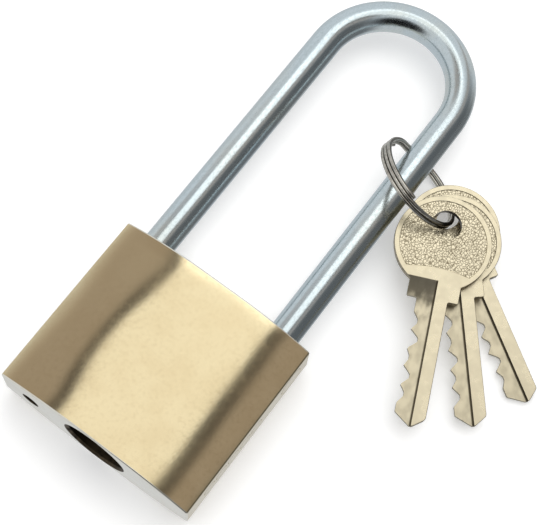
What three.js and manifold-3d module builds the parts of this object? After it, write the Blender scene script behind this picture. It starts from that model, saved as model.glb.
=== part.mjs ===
// Long-shackle brass padlock with a split ring and three keys, lying on its back.
// Units are millimetres and +Z is up. X runs across the width of the lock, Y runs along the
// shackle, and Z comes out of the front face. The origin is the centre of the flat on the back,
// so the surface that the lock lies on is the plane z = 0.
import * as THREE from 'three'
import { mergeVertices } from 'three/addons/utils/BufferGeometryUtils.js'
import Module from 'manifold-3d'

const wasm = await Module()
wasm.setup()

// ---------- driving dimensions ----------

// lock body: a block with bulged front and back faces
const BODY_WIDTH = 50
const BODY_HEIGHT = 44
const BODY_EDGE = 9 // thickness at the two narrow sides
const BODY_MIDDLE = 17 // thickness at the centre
const FLAT_HALF = 4 // half width of the flat strip along the middle of each bulged face
const BULGE_POWER = 2.2
const BULGE_STEPS = 9 // facets from the flat strip to one side

const BOTTOM = -BODY_HEIGHT / 2
const TOP = BODY_HEIGHT / 2
const SIDE = BODY_WIDTH / 2
const MID_Z = BODY_MIDDLE / 2

// shackle
const ROD_RADIUS = 3.65
const LEG_X = 17.5
const LEG_BORE_RADIUS = 3.9
const BOW_Y = BOTTOM + 110 // centre of the round bow
const BOW_STEPS = 24
const HEEL_END = BOTTOM + 11.5
const TOE_END = BOTTOM + 32.4
const LIFT = 12.5

// how far the latch draws back for each millimetre of lift
const LATCH_RATIO = 0.3
const LATCH_TRAVEL = LIFT * LATCH_RATIO

// plug and its bore
const PLUG_BORE_RADIUS = 7.5
const MOUTH_RADIUS = 8.1
const PLUG_RADIUS = 7.25
const PLUG_FRONT = BOTTOM + 2.6
const PLUG_END = BOTTOM + 32.4
const PLUG_BORE_END = BOTTOM + 32.8
const KEYWAY_END = BOTTOM + 31.6
const RETAINER_Y = BOTTOM + 28.8
const PLUG_GROOVE_RADIUS = 5.7

// latch, its channel and the eccentric tail of the plug that draws it
const LATCH_Y = BOTTOM + 37.4
const CHANNEL_RADIUS = 3.5
const CHANNEL_LEFT = -12.5
const LATCH_RADIUS = 3.3
const LATCH_LEFT = -4.5
const NOSE_DEPTH = 1.2 // how far the latch reaches into the toe of the shackle
const NOTCH_DEPTH = 1.5
const TAIL_RADIUS = 0.9
const TAIL_ORBIT = LATCH_TRAVEL / Math.SQRT2
const TAIL_END = BOTTOM + 38.4

// heel retaining pin and shackle spring
const HEEL_PIN_Y = BOTTOM + 29
const HEEL_PIN_RADIUS = 1.2
const HEEL_PIN_X = -LEG_X + 3.6
const HEEL_NECK_RADIUS = 2.1
const HEEL_BORE_END = BOTTOM + 4
const DRAIN_RADIUS = 1.95

// pin tumblers, in a row along Y, pointing at the toe side
const PIN_COUNT = 5
const PIN_FIRST_Y = BOTTOM + 8
const PIN_PITCH = 4.2
const PIN_RADIUS = 1.35
const CHAMBER_RADIUS = 1.6
const CHAMBER_PLUG_RADIUS = 1.9
const KEY_PIN_TIPS = [1.9, 2.7, 1.5, 2.4, 1.9] // x of each key pin's tip
const PIN_FIT = 0.25 // a pin stops this far short of the shear line

// split ring round the toe leg
const RING_CENTRE = [20.85, 70.4, 10.02]
const RING_NORMAL = [0.336, 0.694, 0.637]
const RING_OUTER = 12.05
const RING_INNER = 10.95
const RING_HEIGHT = 2.1

// keys: the local origin is the centre of the ring hole, +Y points out of the head
const KEY_THICK = 2
const HEAD_RADIUS = 11.1
const HOLE_RADIUS = 3.5
const HOLE_OFFSET = 4.3 // from the centre of the head to the centre of the hole
const SHOULDER_HALF = 5.8
const SHOULDER_DOWN = 13.4 // from the centre of the head to the stop
const BLADE_HALF = 3.45
const BLADE_LENGTH = 29
const MILLED_DEPTH = 0.8 // the bitted half of the blade is thinner by this much
const CUT_FIRST = 5.4 // from the stop to the middle of the first cut
const KEY_TILT = 5 // degrees that the keys slope down towards their tips
const KEY_PITCH = 2.4
const KEY_TOP_Z = 9.9 // height of the top key's hole
const KEYS = [
  { hole: [31.8, 65.7], turn: 24.5, cuts: [1.2, 2.0, 0.8, 1.7, 1.2] },
  { hole: [32.1, 67.8], turn: 40.5, cuts: [1.5, 0.9, 1.9, 1.1, 1.6] },
  { hole: [29.5, 69.7], turn: 58, cuts: [0.9, 1.8, 1.3, 2.0, 1.0] }
]

// ---------- materials ----------

const brass = new THREE.MeshStandardMaterial({ color: 0xcfae6d, roughness: 0.35, metalness: 1 })
const steel = new THREE.MeshStandardMaterial({ color: 0xb4bcc2, roughness: 0.2, metalness: 1 })
const spring = new THREE.MeshStandardMaterial({ color: 0x8f8f8a, roughness: 0.4, metalness: 1 })
const nickel = new THREE.MeshStandardMaterial({ color: 0xd9cfb4, roughness: 0.4, metalness: 1 })
const ringSteel = new THREE.MeshStandardMaterial({ color: 0x6f6a60, roughness: 0.3, metalness: 1 })

// ---------- solids ----------

// turn a closed geometry into a manifold solid
function solid (geometry) {
  const bare = geometry.clone()
  bare.deleteAttribute('normal')
  bare.deleteAttribute('uv')
  const merged = mergeVertices(bare, 1e-4)
  return new wasm.Manifold(new wasm.Mesh({
    numProp: 3,
    vertProperties: new Float32Array(merged.attributes.position.array),
    triVerts: new Uint32Array(merged.index.array)
  }))
}

function geometryOf (manifold) {
  const mesh = manifold.getMesh()
  const geometry = new THREE.BufferGeometry()
  geometry.setAttribute('position', new THREE.BufferAttribute(mesh.vertProperties, 3))
  geometry.setIndex(new THREE.BufferAttribute(mesh.triVerts, 1))
  return geometry
}

// a cylinder between two values along one axis, centred on the other two
function rod (axis, from, to, radius, centre, sides = 24) {
  const geometry = new THREE.CylinderGeometry(radius, radius, to - from, sides)
  geometry.translate(0, (from + to) / 2, 0)
  if (axis === 'x') {
    geometry.rotateZ(-Math.PI / 2)
    geometry.translate(0, centre[0], centre[1])
  } else if (axis === 'y') {
    geometry.translate(centre[0], 0, centre[1])
  } else {
    geometry.rotateX(Math.PI / 2)
    geometry.translate(centre[0], centre[1], 0)
  }
  return geometry
}

// a ring or pin of revolution about the Y axis through (x, z), from [radius, y] points
function turned (points, x, z, sides = 24) {
  const profile = points.map(([radius, y]) => new THREE.Vector2(radius, y))
  // half a facet of turn keeps its edges off those of the cross holes
  const geometry = new THREE.LatheGeometry(profile, sides, Math.PI / sides)
  geometry.translate(x, 0, z)
  return geometry
}

// a flat outline of [x, y] points, extruded from one z to another
function slab (points, from, to) {
  const shape = new THREE.Shape(points.map(([x, y]) => new THREE.Vector2(x, y)))
  const geometry = new THREE.ExtrudeGeometry(shape, { depth: to - from, bevelEnabled: false })
  geometry.translate(0, 0, from)
  return geometry
}

function box (low, high) {
  const size = high.map((value, i) => value - low[i])
  const geometry = new THREE.BoxGeometry(...size)
  geometry.translate(low[0] + size[0] / 2, low[1] + size[1] / 2, low[2] + size[2] / 2)
  return geometry
}

class Helix extends THREE.Curve {
  constructor (radius, length, turns) {
    super()
    this.radius = radius
    this.length = length
    this.turns = turns
  }

  getPoint (t, target = new THREE.Vector3()) {
    const angle = 2 * Math.PI * this.turns * t
    return target.set(this.radius * Math.cos(angle), this.length * t, this.radius * Math.sin(angle))
  }
}

// a coil spring along Y from 0 to length, measured over its end turns
function coil (outerRadius, wire, length, turns, stepsPerTurn = 9) {
  const path = new Helix(outerRadius - wire, length - 2 * wire, turns)
  const section = new THREE.Shape()
  section.absarc(0, 0, wire, 0, 2 * Math.PI)
  const steps = Math.round(turns * stepsPerTurn)
  const options = { steps, curveSegments: 3, bevelEnabled: false, extrudePath: path }
  const geometry = new THREE.ExtrudeGeometry(section, options)
  geometry.translate(0, wire, 0)
  return geometry
}

const parts = new THREE.Group()

function add (name, geometry, material, parent = parts) {
  const mesh = new THREE.Mesh(geometry, material.clone())
  mesh.name = name
  parent.add(mesh)
  return mesh
}

// ---------- lock body ----------

// half of the body's thickness at a distance x from its centre line
function halfThickness (x) {
  const along = Math.max(0, (Math.abs(x) - FLAT_HALF) / (SIDE - FLAT_HALF))
  return BODY_EDGE / 2 + (BODY_MIDDLE - BODY_EDGE) / 2 * (1 - along ** BULGE_POWER)
}

function bodyBlock () {
  const half = []
  for (let i = 0; i <= BULGE_STEPS; i++) {
    half.push(FLAT_HALF + (SIDE - FLAT_HALF) * i / BULGE_STEPS)
  }
  const xs = [...half.map(x => -x).reverse(), ...half]
  const back = xs.map(x => [x, MID_Z - halfThickness(x)])
  const front = xs.map(x => [x, MID_Z + halfThickness(x)]).reverse()
  const geometry = slab([...back, ...front], -TOP, -BOTTOM)
  geometry.rotateX(Math.PI / 2)
  return solid(geometry)
}

const pinYs = []
for (let i = 0; i < PIN_COUNT; i++) {
  pinYs.push(PIN_FIRST_Y + i * PIN_PITCH)
}
const CHAMBER_MOUTH = 20.6 // x where a chamber widens for its plug
const CHANNEL_PLUG_FROM = 21.9

const plugBore = solid(turned([
  [0, BOTTOM - 1],
  [MOUTH_RADIUS + 1, BOTTOM - 1],
  [PLUG_BORE_RADIUS, BOTTOM + MOUTH_RADIUS - PLUG_BORE_RADIUS],
  [PLUG_BORE_RADIUS, PLUG_BORE_END],
  [0, PLUG_BORE_END]
], 0, MID_Z, 48))

let body = bodyBlock()
  .subtract(plugBore)
  .subtract(solid(rod('y', PLUG_BORE_END - 1, TAIL_END + 0.3, TAIL_ORBIT + TAIL_RADIUS + 0.3, [0, MID_Z])))
  .subtract(solid(rod('y', HEEL_BORE_END, TOP + 1, LEG_BORE_RADIUS, [-LEG_X, MID_Z])))
  .subtract(solid(rod('y', TOE_END - 0.5, TOP + 1, LEG_BORE_RADIUS, [LEG_X, MID_Z])))
  .subtract(solid(rod('y', BOTTOM - 1, HEEL_BORE_END + 1, DRAIN_RADIUS, [-LEG_X, MID_Z], 16)))
  .subtract(solid(rod('x', CHANNEL_LEFT, SIDE + 1, CHANNEL_RADIUS, [LATCH_Y, MID_Z])))
for (const y of pinYs) {
  body = body
    .subtract(solid(rod('x', 3, CHAMBER_MOUTH + 0.5, CHAMBER_RADIUS, [y, MID_Z], 16)))
    .subtract(solid(rod('x', CHAMBER_MOUTH, SIDE + 1, CHAMBER_PLUG_RADIUS, [y, MID_Z], 16)))
}
const PIN_BORE_TOP = MID_Z + 5.6
const retainers = [
  { name: 'heel_retaining_pin', x: HEEL_PIN_X, y: HEEL_PIN_Y, radius: HEEL_PIN_RADIUS },
  { name: 'plug_retaining_pin', x: -PLUG_RADIUS, y: RETAINER_Y, radius: 1 }
]
const RETAINER_GAP = 0.12
for (const pin of retainers) {
  const hole = rod('z', -1, PIN_BORE_TOP + 0.3, pin.radius + RETAINER_GAP, [pin.x, pin.y], 16)
  body = body.subtract(solid(hole))
  const from = MID_Z - halfThickness(pin.x) + 0.1
  add(pin.name, rod('z', from, PIN_BORE_TOP, pin.radius, [pin.x, pin.y], 16), spring)
}
add('lock_body', geometryOf(body), brass)

pinYs.forEach((y, i) => {
  const disc = rod('x', CHAMBER_MOUTH + 0.3, SIDE, CHAMBER_PLUG_RADIUS - 0.1, [y, MID_Z], 16)
  add(`chamber_plug_${i + 1}`, disc, brass)
})
add('channel_plug', rod('x', CHANNEL_PLUG_FROM, SIDE, CHANNEL_RADIUS - 0.1, [LATCH_Y, MID_Z]), brass)

// ---------- shackle ----------

// the shackle's centre line: heel leg, round bow, toe leg
class ShackleLine extends THREE.Curve {
  constructor () {
    super()
    this.stations = BOW_STEPS + 2
  }

  getPointAt (u, target = new THREE.Vector3()) {
    const step = u * this.stations
    if (step < 0.5) return target.set(-LEG_X, HEEL_END, MID_Z)
    if (step > this.stations - 0.5) return target.set(LEG_X, TOE_END, MID_Z)
    const angle = Math.PI * (1 - (step - 1) / BOW_STEPS)
    return target.set(LEG_X * Math.cos(angle), BOW_Y + LEG_X * Math.sin(angle), MID_Z)
  }

  getTangentAt (u, target = new THREE.Vector3()) {
    const turn = Math.min(1, Math.max(0, (u * this.stations - 1) / BOW_STEPS))
    return target.set(Math.sin(Math.PI * turn), Math.cos(Math.PI * turn), 0)
  }
}

function shackle () {
  const line = new ShackleLine()
  const section = new THREE.Shape()
  section.absarc(0, 0, ROD_RADIUS, 0, 2 * Math.PI)
  const options = { steps: line.stations, curveSegments: 12, bevelEnabled: false, extrudePath: line }
  const bar = new THREE.ExtrudeGeometry(section, options)
  const neck = turned([
    [HEEL_NECK_RADIUS, HEEL_PIN_Y - LIFT - HEEL_PIN_RADIUS - 0.3],
    [ROD_RADIUS + 1, HEEL_PIN_Y - LIFT - HEEL_PIN_RADIUS - 0.3],
    [ROD_RADIUS + 1, HEEL_PIN_Y + HEEL_PIN_RADIUS + 0.3],
    [HEEL_NECK_RADIUS, HEEL_PIN_Y + HEEL_PIN_RADIUS + 0.3],
    [HEEL_NECK_RADIUS, HEEL_PIN_Y - LIFT - HEEL_PIN_RADIUS - 0.3]
  ], -LEG_X, MID_Z)
  const inner = LEG_X - ROD_RADIUS
  const flankY = TOE_END + 1.2
  const notch = slab([
    [inner - 0.6, flankY - 0.6 / LATCH_RATIO],
    [inner + NOTCH_DEPTH, flankY + NOTCH_DEPTH / LATCH_RATIO],
    [inner + NOTCH_DEPTH, LATCH_Y + LATCH_RADIUS + 0.4],
    [inner - 0.6, LATCH_Y + LATCH_RADIUS + 0.4]
  ], MID_Z - ROD_RADIUS - 1, MID_Z + ROD_RADIUS + 1)
  return geometryOf(solid(bar).subtract(solid(neck)).subtract(solid(notch)))
}
add('shackle', shackle(), steel)

const shackleSpring = coil(3.1, 0.4, HEEL_END - HEEL_BORE_END - 0.6, 4.5)
shackleSpring.translate(-LEG_X, HEEL_BORE_END + 0.3, MID_Z)
add('shackle_spring', shackleSpring, spring)

// ---------- latch ----------

function latch () {
  const tip = LEG_X - ROD_RADIUS + NOSE_DEPTH
  const bar = solid(rod('x', LATCH_LEFT, tip, LATCH_RADIUS, [LATCH_Y, MID_Z]))
  const inner = LEG_X - ROD_RADIUS
  const rampY = TOE_END + 1.7
  const under = slab([
    [inner - 0.3, rampY - 0.3 / LATCH_RATIO],
    [tip + 0.4, rampY - 0.3 / LATCH_RATIO],
    [tip + 0.4, rampY + (NOSE_DEPTH + 0.4) / LATCH_RATIO]
  ], 0, BODY_MIDDLE)
  const slotHalf = TAIL_RADIUS + 0.3
  const slotX = TAIL_ORBIT * Math.SQRT1_2
  const slot = box(
    [slotX - slotHalf, LATCH_Y - 2 * LATCH_RADIUS, 0],
    [slotX + slotHalf, TAIL_END + 0.3, BODY_MIDDLE]
  )
  return geometryOf(bar.subtract(solid(under)).subtract(solid(slot)))
}
add('latch', latch(), brass)

const latchSpring = coil(2.8, 0.3, LATCH_LEFT - CHANNEL_LEFT - 0.6, 5)
latchSpring.rotateZ(-Math.PI / 2)
latchSpring.translate(CHANNEL_LEFT + 0.3, LATCH_Y, MID_Z)
add('latch_spring', latchSpring, spring)

// ---------- plug and pin tumblers ----------

function plug () {
  let core = solid(turned([
    [0, PLUG_FRONT],
    [PLUG_RADIUS - 0.4, PLUG_FRONT],
    [PLUG_RADIUS, PLUG_FRONT + 0.4],
    [PLUG_RADIUS, RETAINER_Y - 1.3],
    [PLUG_GROOVE_RADIUS, RETAINER_Y - 1.3],
    [PLUG_GROOVE_RADIUS, RETAINER_Y + 1.3],
    [PLUG_RADIUS, RETAINER_Y + 1.3],
    [PLUG_RADIUS, PLUG_END],
    [0, PLUG_END]
  ], 0, MID_Z, 48))
  const tailAt = TAIL_ORBIT * Math.SQRT1_2
  core = core.add(solid(rod('y', PLUG_END - 0.4, TAIL_END, TAIL_RADIUS, [tailAt, MID_Z + tailAt], 16)))
  const wide = BLADE_HALF + 0.2
  const full = KEY_THICK / 2 + 0.15
  const keyway = solid(box([-wide, BOTTOM, MID_Z - full], [0.5, KEYWAY_END, MID_Z + full]))
    .add(solid(box([0.2, BOTTOM, MID_Z - full], [wide, KEYWAY_END, MID_Z + full - MILLED_DEPTH])))
  core = core.subtract(keyway)
  for (const y of pinYs) {
    core = core.subtract(solid(rod('x', 0.2, PLUG_RADIUS + 1, CHAMBER_RADIUS, [y, MID_Z], 16)))
  }
  return geometryOf(core)
}
add('plug', plug(), brass)

// a pin along +X from its tip to its flat end, with the tip coned to half its radius
function pinAlongX (tip, end, y) {
  const geometry = turned([
    [0, tip],
    [PIN_RADIUS / 2, tip],
    [PIN_RADIUS, tip + 0.7],
    [PIN_RADIUS, end],
    [0, end]
  ], 0, 0, 16)
  geometry.rotateZ(-Math.PI / 2)
  geometry.translate(0, y, MID_Z)
  return geometry
}

const DRIVER_FROM = PLUG_BORE_RADIUS + PIN_FIT
const DRIVER_TO = DRIVER_FROM + 4.2
pinYs.forEach((y, i) => {
  add(`key_pin_${i + 1}`, pinAlongX(KEY_PIN_TIPS[i], PLUG_RADIUS - PIN_FIT - 0.1, y), nickel)
  add(`driver_pin_${i + 1}`, rod('x', DRIVER_FROM, DRIVER_TO, PIN_RADIUS, [y, MID_Z], 16), brass)
  const wire = coil(1.35, 0.2, CHAMBER_MOUTH - DRIVER_TO - 0.3, 5, 8)
  wire.rotateZ(-Math.PI / 2)
  wire.translate(DRIVER_TO + 0.3, y, MID_Z)
  add(`pin_spring_${i + 1}`, wire, spring)
})

// ---------- split ring ----------

const ringGroup = new THREE.Group()
ringGroup.position.set(...RING_CENTRE)
const ringNormal = new THREE.Vector3(...RING_NORMAL).normalize()
ringGroup.quaternion.setFromUnitVectors(new THREE.Vector3(0, 1, 0), ringNormal)
parts.add(ringGroup)

function splitRing () {
  const half = RING_HEIGHT / 2
  const round = 0.3
  return turned([
    [RING_INNER, -half + round],
    [RING_INNER + round, -half],
    [RING_OUTER - round, -half],
    [RING_OUTER, -half + round],
    [RING_OUTER, half - round],
    [RING_OUTER - round, half],
    [RING_INNER + round, half],
    [RING_INNER, half - round],
    [RING_INNER, -half + round]
  ], 0, 0, 40)
}
add('split_ring', splitRing(), ringSteel, ringGroup)

// ---------- keys ----------

function keyOutline (cuts) {
  const centreY = -HOLE_OFFSET
  const stopY = centreY - SHOULDER_DOWN
  const tipY = stopY - BLADE_LENGTH
  const neck = Math.sqrt(HEAD_RADIUS ** 2 - SHOULDER_HALF ** 2)
  const shape = new THREE.Shape()
  shape.moveTo(SHOULDER_HALF, centreY - neck)
  const start = Math.atan2(-neck, SHOULDER_HALF)
  shape.absarc(0, centreY, HEAD_RADIUS, start, Math.PI - start, false)
  shape.lineTo(-SHOULDER_HALF, stopY)
  // bitted edge, on the -X side
  shape.lineTo(-BLADE_HALF, stopY)
  cuts.forEach((depth, i) => {
    const middle = stopY - CUT_FIRST - i * PIN_PITCH
    shape.lineTo(-BLADE_HALF, middle + 0.5 + depth * 0.75)
    shape.lineTo(-BLADE_HALF + depth, middle + 0.5)
    shape.lineTo(-BLADE_HALF + depth, middle - 0.5)
    shape.lineTo(-BLADE_HALF, middle - 0.5 - depth * 0.75)
  })
  shape.lineTo(-BLADE_HALF, tipY + 2.6)
  shape.lineTo(0.2, tipY)
  shape.lineTo(0.8, tipY)
  shape.lineTo(BLADE_HALF, tipY + 2)
  shape.lineTo(BLADE_HALF, stopY)
  shape.lineTo(SHOULDER_HALF, stopY)
  shape.closePath()
  const hole = new THREE.Path()
  hole.absarc(0, 0, HOLE_RADIUS, 0, 2 * Math.PI, true)
  shape.holes.push(hole)
  return shape
}

function key (cuts) {
  const options = { depth: KEY_THICK, bevelEnabled: false, curveSegments: 20 }
  const blank = new THREE.ExtrudeGeometry(keyOutline(cuts), options)
  blank.translate(0, 0, -KEY_THICK / 2)
  const stopY = -HOLE_OFFSET - SHOULDER_DOWN
  const milled = box(
    [-SHOULDER_HALF - 1, stopY - BLADE_LENGTH - 1, KEY_THICK / 2 - MILLED_DEPTH],
    [0.5, stopY + 4.5, KEY_THICK]
  )
  return geometryOf(solid(blank).subtract(solid(milled)))
}

KEYS.forEach(({ hole, turn, cuts }, i) => {
  const mesh = add(`key_${i + 1}`, key(cuts), nickel)
  const azimuth = THREE.MathUtils.degToRad(turn)
  const tilt = THREE.MathUtils.degToRad(KEY_TILT)
  mesh.position.set(hole[0], hole[1], KEY_TOP_Z - i * KEY_PITCH)
  // every key slopes down in one direction, the middle key's, so that the three stay parallel
  const slope = THREE.MathUtils.degToRad(KEYS[1].turn)
  const slopeAxis = new THREE.Vector3(Math.cos(slope), Math.sin(slope), 0)
  const flat = new THREE.Quaternion().setFromAxisAngle(new THREE.Vector3(0, 0, 1), azimuth)
  mesh.quaternion.setFromAxisAngle(slopeAxis, tilt).multiply(flat)
})

export default parts
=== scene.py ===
import math

import bmesh
import bpy
from bpy.props import FloatProperty, FloatVectorProperty, IntProperty, PointerProperty
from mathutils import Matrix, Vector


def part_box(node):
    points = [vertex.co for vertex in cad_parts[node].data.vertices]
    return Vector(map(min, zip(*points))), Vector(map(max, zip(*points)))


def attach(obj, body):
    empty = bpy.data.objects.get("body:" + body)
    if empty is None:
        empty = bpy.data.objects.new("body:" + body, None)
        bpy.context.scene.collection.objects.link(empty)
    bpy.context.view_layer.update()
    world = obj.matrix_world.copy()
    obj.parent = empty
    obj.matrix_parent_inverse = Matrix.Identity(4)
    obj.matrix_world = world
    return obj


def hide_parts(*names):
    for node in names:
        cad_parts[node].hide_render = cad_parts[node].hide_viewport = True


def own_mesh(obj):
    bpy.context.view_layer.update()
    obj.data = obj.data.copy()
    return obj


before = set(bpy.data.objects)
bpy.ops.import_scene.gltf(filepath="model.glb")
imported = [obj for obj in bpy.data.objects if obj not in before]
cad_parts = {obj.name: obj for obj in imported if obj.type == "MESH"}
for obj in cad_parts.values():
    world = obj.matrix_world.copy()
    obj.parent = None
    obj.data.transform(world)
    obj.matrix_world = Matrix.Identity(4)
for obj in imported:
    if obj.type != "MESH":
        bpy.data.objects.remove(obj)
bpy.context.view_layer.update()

bl_info = {
    "name": "Long-shackle padlock",
    "version": (1, 0, 0),
    "blender": (4, 5, 0),
    "location": "3D View > Sidebar > Padlock",
    "description": "Builds a brass padlock with a long shackle, a split ring and three keys",
    "category": "Object",
}

# Shapes are worked out in millimetres and stored in metres. X runs across the lock, Y along
# its shackle, and Z out of its front face.
MM = 0.001


def node_box(name):
    """The lowest and highest corner of a CAD node, in millimetres."""
    low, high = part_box(name)
    return Vector(low) / MM, Vector(high) / MM


BODY_LOW, BODY_HIGH = node_box("lock_body")
SHACKLE_LOW, SHACKLE_HIGH = node_box("shackle")
PLUG_LOW, PLUG_HIGH = node_box("plug")
BOTTOM, TOP, SIDE = BODY_LOW.y, BODY_HIGH.y, BODY_HIGH.x
MID_Z = (BODY_LOW.z + BODY_HIGH.z) / 2

# body
BODY_EDGE = 9.0
BODY_MIDDLE = BODY_HIGH.z - BODY_LOW.z
FLAT_HALF = 4.0
BULGE_POWER = 2.2
BODY_ACROSS = 72
BODY_ROWS = 28
CORNER_RADIUS = 0.5
CORNER_STEPS = 5

# shackle
ROD_RADIUS = (SHACKLE_HIGH.z - SHACKLE_LOW.z) / 2
LEG_X = SHACKLE_HIGH.x - ROD_RADIUS
BOW_Y = SHACKLE_HIGH.y - ROD_RADIUS - LEG_X
HEEL_END = SHACKLE_LOW.y
TOE_END = 10.4
LIFT = 12.5
LATCH_STROKE = LIFT * 0.3
NECK_RADIUS = 2.1
NECK_LOW, NECK_HIGH = -7.0, 8.5
NOTCH = [(13.25, 9.6), (15.35, 16.6), (15.35, 19.1), (13.25, 19.1)]

# holes in the body
LIP = 0.25
LEG_BORE_RADIUS = 3.9
HEEL_BORE_END = BOTTOM + 4
DRAIN_RADIUS = 1.95
PLUG_BORE_RADIUS = 7.5
MOUTH_RADIUS = 8.1
PLUG_BORE_END = BOTTOM + 32.8
TAIL_ROOM_RADIUS = 3.85
TAIL_ROOM_END = BOTTOM + 38.7
LATCH_Y = BOTTOM + 37.4
CHANNEL_LEFT = -12.5
CHANNEL_RADIUS = 3.5
CHAMBER_RADIUS = 1.6
CHAMBER_PLUG_RADIUS = 1.9
CHAMBER_MOUTH = 20.6
RETAINERS = [(-LEG_X + 3.6, BOTTOM + 29, 1.32), (-7.25, BOTTOM + 28.8, 1.12)]
RETAINER_TOP = MID_Z + 5.9

# plug and tumblers
PLUG_RADIUS = (PLUG_HIGH.x - PLUG_LOW.x) / 2
PLUG_GROOVE_RADIUS = 5.7
RETAINER_Y = RETAINERS[1][1]
GROOVE_HALF = 1.3
PLUG_END = BOTTOM + 32.4
KEYWAY_END = BOTTOM + 31.6
TAIL_ORBIT = LATCH_STROKE / math.sqrt(2)
TAIL_RADIUS = 0.9
PIN_COUNT = 5
PIN_SPACING = 4.2
PIN_YS = [BOTTOM + 8 + PIN_SPACING * i for i in range(PIN_COUNT)]
PIN_RADIUS = 1.35

# split ring
RING_CENTRE = Vector((20.85, 70.4, 10.02))
RING_NORMAL = Vector((0.336, 0.694, 0.637)).normalized()
RING_MIDDLE = 11.5
RING_END = 72.0
RING_STEP_FROM, RING_STEP_TO = 228.0, 194.0
RING_LAYER = 0.98
WIRE_STEPS = 20
# the faces on the wire's upper and lower flanks, which get the painted shade of the grooves between
# turns
SHADED_WIRE_FLANKS = (3, 4, 5, 13, 14, 15)

# keys: the local origin is the centre of the ring hole, and the blade points along -Y
KEY_THICK = 2.0
KEY_HALF = KEY_THICK / 2
HEAD_RADIUS = 11.1
HOLE_RADIUS = 3.5
HEAD_Y = -4.3
SHOULDER_HALF = 5.8
STOP_Y = HEAD_Y - 13.4
BLADE_HALF = 3.45
TIP_Y = STOP_Y - 29
MILLED_DEPTH = 0.8
MILLED_TOP = STOP_Y + 4.5
MILLED_SIDE = 0.5
MILLING_RADIUS = 24.0
BITTING_TOP, BITTING_END = STOP_Y - 1.8, TIP_Y + 3.4
BITTING_STEPS = 63
FIRST_CUT_Y = STOP_Y - 5.4
HEAD_STEPS = 84
FIELD_STEPS = 64
FIELD_BASE = -6.9
KEY_TILT = 5.0
KEYS = [
    {"hole": (31.8, 65.7, 9.9), "turn": 24.5, "cuts": (1.2, 2.0, 0.8, 1.7, 1.2)},
    {"hole": (32.1, 67.8, 7.5), "turn": 40.5, "cuts": (1.5, 0.9, 1.9, 1.1, 1.6)},
    {"hole": (29.5, 69.7, 5.1), "turn": 58.0, "cuts": (0.9, 1.8, 1.3, 2.0, 1.0)},
]

# camera and light
EYE = Vector((61.856, -65.065, 323.414))
LOOK_AT = Vector((3.823, 36.075, 4.035))
CAMERA_ROLL = 38.431
SENSOR_WIDTH = 36.0
FLOOR_HALF = 3000.0
FLOOR_GLOW = 0.28
LIGHT_TARGET = Vector((-6.0, 10.0, 10.0))
SOFTBOX_PLACE = Vector((-60, 220, 900))
SOFTBOX_SIZE = (0.66, 0.6)
SOFTBOX_COLOUR = (1, 0.99, 0.95)
WASH_PLACE = Vector((300, 500, 1800))
WASH_SIZE = (3.0, 3.0)
WASH_LEVEL = 1.1
WALL_LEVEL = 0.4
CEILING_LEVEL = 0.1
GROUND_LEVEL = 0.66

# colours that have no setting: finishes, and the painted shade and painted reflection noted below
# the end faces' milled brass: paler partly for the milling and partly as a painted reflection, with
# their bright grazing sheen put into the colour
MILLED_BRASS_AND_SHEEN = (0.93, 0.90, 0.80)
# painted shade: the dark of the drilled holes and of the plug
BORE_SHADE_BROWN, BORE_SHADE_BLACK = (0.10, 0.075, 0.045), (0.035, 0.028, 0.02)
PEBBLE_TOP = (0.86, 0.775, 0.58)
MILLED_DULL = (0.56, 0.50, 0.36)
# painted shade at the head end of the key's milled step, and dirt with painted shade at the foot of
# its wall
SCOOP_SHADE_DARK = (0.10, 0.088, 0.065)
FOOT_DIRT_AND_SHADE = (0.07, 0.055, 0.035)
EDGE_PALE, EDGE_DARK = (0.36, 0.31, 0.21), (0.18, 0.15, 0.10)
# painted shade in the grooves between the ring's turns
GROOVE_SHADE_PALE, GROOVE_SHADE_DARK = (0.13, 0.12, 0.10), (0.05, 0.045, 0.035)
SPRING_PALE, SPRING_DARK = (0.55, 0.55, 0.54), (0.34, 0.33, 0.32)
STEEL_PALE, STEEL_DARK = (0.52, 0.53, 0.54), (0.36, 0.36, 0.36)
FLOOR_PALE = (0.93, 0.93, 0.93)
ROOM_COOL, ROOM_WARM = (0.96, 0.98, 1.0), (1.0, 0.89, 0.82)


# ---------- mesh tools ----------


def skin(rings):
    """Vertices and faces of a closed form that runs through equal rings, flat at both ends."""
    count = len(rings[0])
    verts = [point for ring in rings for point in ring]
    faces = []
    for i in range(len(rings) - 1):
        low, high = i * count, (i + 1) * count
        for j in range(count):
            k = (j + 1) % count
            faces.append((low + j, low + k, high + k, high + j))
    faces.append(tuple(reversed(range(count))))
    faces.append(tuple(range((len(rings) - 1) * count, len(rings) * count)))
    return verts, faces


def new_piece(name, shape, *materials):
    """An object from (vertices, faces), with outward faces."""
    verts, faces = shape
    mesh = bpy.data.meshes.new(name)
    mesh.from_pydata([Vector(v) * MM for v in verts], [], faces)
    shell = bmesh.new()
    shell.from_mesh(mesh)
    bmesh.ops.recalc_face_normals(shell, faces=shell.faces)
    shell.to_mesh(mesh)
    shell.free()
    for material in materials:
        mesh.materials.append(material)
    made = bpy.data.objects.new(name, mesh)
    bpy.context.scene.collection.objects.link(made)
    return made


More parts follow.
